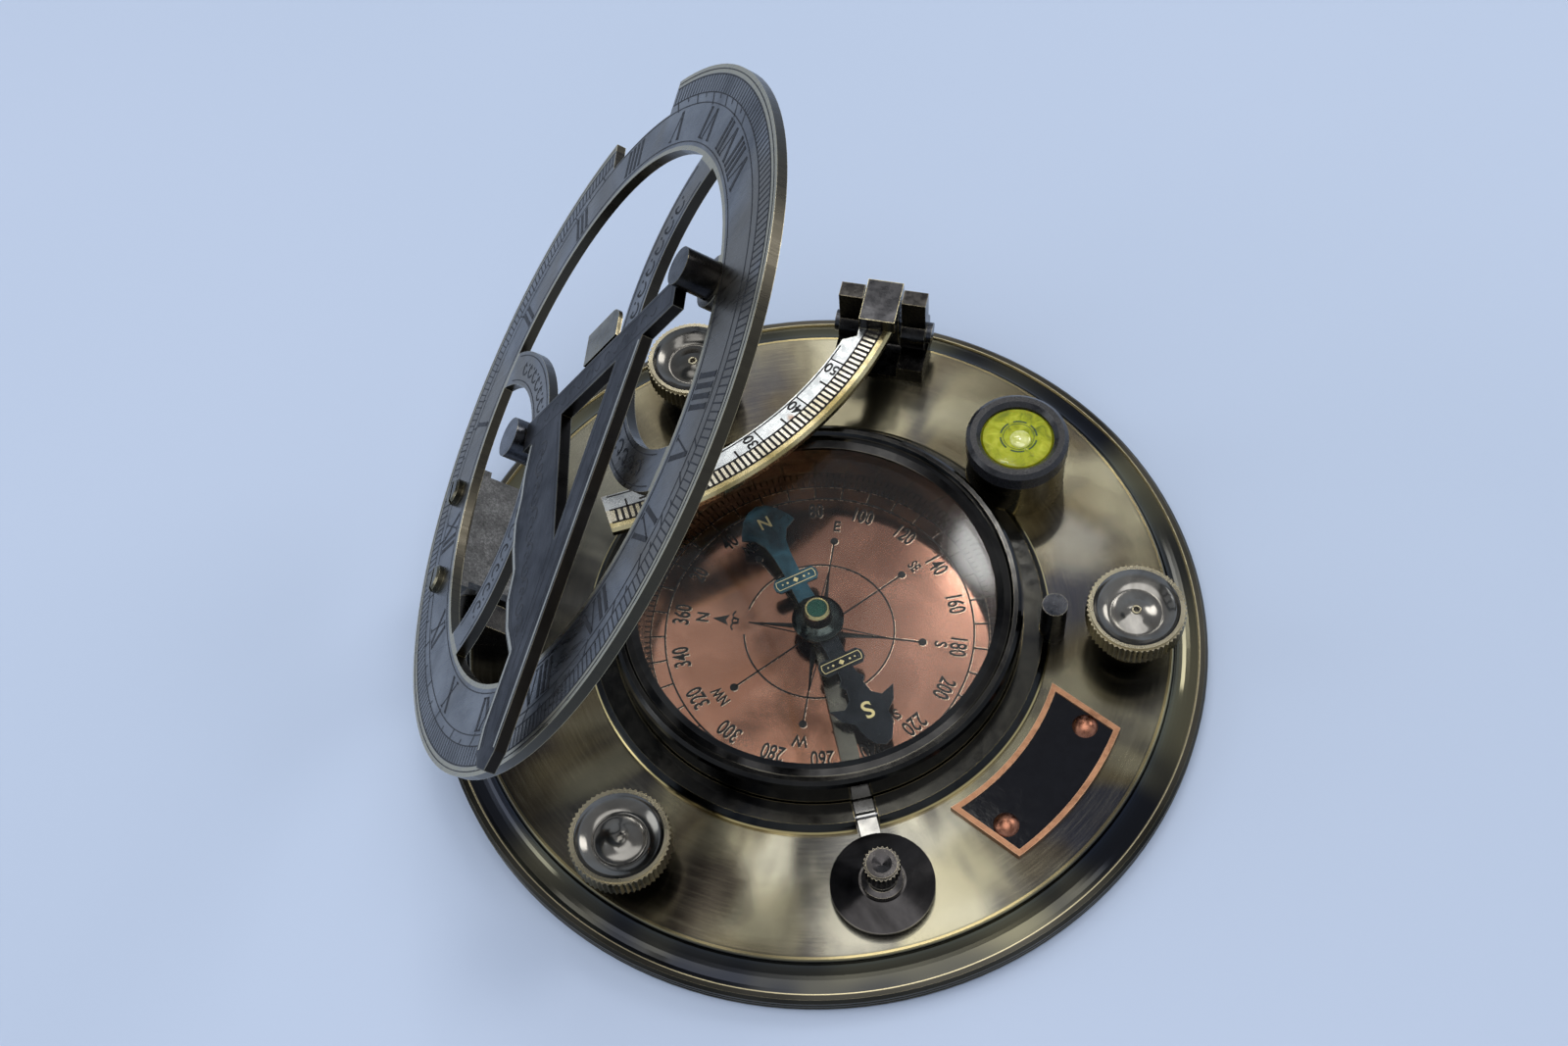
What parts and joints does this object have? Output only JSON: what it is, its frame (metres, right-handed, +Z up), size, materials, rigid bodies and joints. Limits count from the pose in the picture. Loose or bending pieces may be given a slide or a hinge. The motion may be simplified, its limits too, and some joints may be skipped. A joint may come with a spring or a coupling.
{
  "type": "sundial compass",
  "caption": "Levelled compass under a tilting hour ring with a folding gnomon and a folding latitude arc.",
  "frame": {"origin": "centre of the underside, on the table", "axes": "+Z up, +X from the hour ring's hinge towards the compass dial's south, +Y towards its east"},
  "size_m": [0.127, 0.127, 0.1058],
  "materials": {
    "base": "brushed antique brass",
    "dark": "polished blackened brass",
    "brass": "antique brass",
    "copper": "polished copper",
    "glass": "clear",
    "vial": "clear yellow-green",
    "black_plastic": "gloss black",
    "steel": "plain",
    "blued": "blued",
    "gunmetal": "gunmetal",
    "ring": "slate antique brass with worn edges",
    "leaf": "rough grey",
    "arc": "silvered antique brass",
    "plate": "copper with a black field"
  },
  "bodies": {
    "base": {"base_plate": "base", "collar_ring": "dark", "compass_bowl": "brass", "bowl_nut": "brass", "compass_dial": "copper", "bezel": "dark", "glass": "glass", "pivot_pin": "steel", "lever_pin": "steel", "lifter_bush": "dark", "levelling_bushes": "dark", "bubble_holder": "brass", "bubble_vial": "vial", "bubble_cap": "black_plastic", "rest_pin": "gunmetal", "nameplate": "plate", "nameplate_rivets": "copper", "ring_bracket": "gunmetal", "ring_hinge_pin": "steel", "arc_bracket": "gunmetal", "arc_hinge_pin": "steel"},
    "hour_ring": {"hour_ring": "ring", "ring_leaf": "leaf", "ring_screws": "gunmetal", "gnomon_post_inner": "gunmetal", "gnomon_post_outer": "gunmetal", "gnomon_catch": "brass"},
    "gnomon": {"gnomon_plate": "ring"},
    "latitude_arc": {"latitude_arc": "arc", "arc_knuckle": "brass"},
    "lifter_disc": {"lifter_disc": "gunmetal"},
    "lifter_knob": {"lifter_knob": "gunmetal"},
    "lifter_lever": {"lifter_lever": "brass"},
    "lift_washer": {"lift_washer": "brass"},
    "needle": {"needle_blade": "blued", "needle_cap": "gunmetal"},
    "levelling_foot_1": {"levelling_foot_1": "brass"},
    "levelling_screw_1": {"levelling_screw_1": "brass"},
    "levelling_foot_2": {"levelling_foot_2": "brass"},
    "levelling_screw_2": {"levelling_screw_2": "brass"},
    "levelling_foot_3": {"levelling_foot_3": "brass"},
    "levelling_screw_3": {"levelling_screw_3": "brass"}
  },
  "joints": [
    {"name": "ring_tilt", "type": "hinge", "parent": "base", "child": "hour_ring", "pos_m": [-0.056, 0, 0.0113], "axis": [0, -1, 0], "range_deg": [-54.4, 35.6]},
    {"name": "gnomon_fold", "type": "hinge", "parent": "hour_ring", "child": "gnomon", "pos_m": [-0.03381, 0, 0.06428], "axis": [-0.5821, 0, -0.8131], "range_deg": [0, 90]},
    {"name": "arc_raise", "type": "hinge", "parent": "base", "child": "latitude_arc", "pos_m": [0.00697, 0.05597, 0.0115], "axis": [-0.9923, 0.1236, 0], "range_deg": [0, 90]},
    {"name": "lifter_press", "type": "slide", "parent": "base", "child": "lifter_disc", "axis": [0, 0, -1], "range_m": [0, 0.000121]},
    {"name": "lifter_knob_turn", "type": "hinge", "parent": "lifter_disc", "child": "lifter_knob", "pos_m": [0.01402, -0.04528, 0.0071], "axis": [0, 0, -1], "range_deg": [0, 90]},
    {"name": "lever_tilt", "type": "hinge", "parent": "base", "child": "lifter_lever", "pos_m": [0.01064, -0.03439, 0.00675], "axis": [0.9553, 0.2957, 0], "range_deg": [0, 1.84]},
    {"name": "needle_lift", "type": "slide", "parent": "base", "child": "lift_washer", "axis": [0, 0, 1], "range_m": [0, 0.001]},
    {"name": "needle_spin", "type": "hinge", "parent": "lift_washer", "child": "needle", "pos_m": [0, 0, 0.0051], "axis": [0, 0, 1], "continuous": true},
    {"name": "levelling_slide_1", "type": "slide", "parent": "base", "child": "levelling_foot_1", "axis": [0, 0, -1], "range_m": [0, 0.0028]},
    {"name": "levelling_turn_1", "type": "hinge", "parent": "levelling_foot_1", "child": "levelling_screw_1", "pos_m": [0.05085, 0, 0.0121], "axis": [0, 0, -1], "range_deg": [0, 1440]},
    {"name": "levelling_slide_2", "type": "slide", "parent": "base", "child": "levelling_foot_2", "axis": [0, 0, -1], "range_m": [0, 0.0028]},
    {"name": "levelling_turn_2", "type": "hinge", "parent": "levelling_foot_2", "child": "levelling_screw_2", "pos_m": [-0.02542, 0.04404, 0.0121], "axis": [0, 0, -1], "range_deg": [0, 1440]},
    {"name": "levelling_slide_3", "type": "slide", "parent": "base", "child": "levelling_foot_3", "axis": [0, 0, -1], "range_m": [0, 0.0028]},
    {"name": "levelling_turn_3", "type": "hinge", "parent": "levelling_foot_3", "child": "levelling_screw_3", "pos_m": [-0.02542, -0.04404, 0.0121], "axis": [0, 0, -1], "range_deg": [0, 1440]}
  ],
  "couplings": [
    {"joint": "lifter_knob_turn", "follows": "needle_lift", "rad_per_m": 1570.7},
    {"joint": "lifter_press", "follows": "needle_lift", "ratio": 0.12},
    {"joint": "lever_tilt", "follows": "needle_lift", "rad_per_m": 31.94},
    {"joint": "levelling_slide_1", "follows": "levelling_turn_1", "m_per_rad": 0.00011141},
    {"joint": "levelling_slide_2", "follows": "levelling_turn_2", "m_per_rad": 0.00011141},
    {"joint": "levelling_slide_3", "follows": "levelling_turn_3", "m_per_rad": 0.00011141}
  ]
}
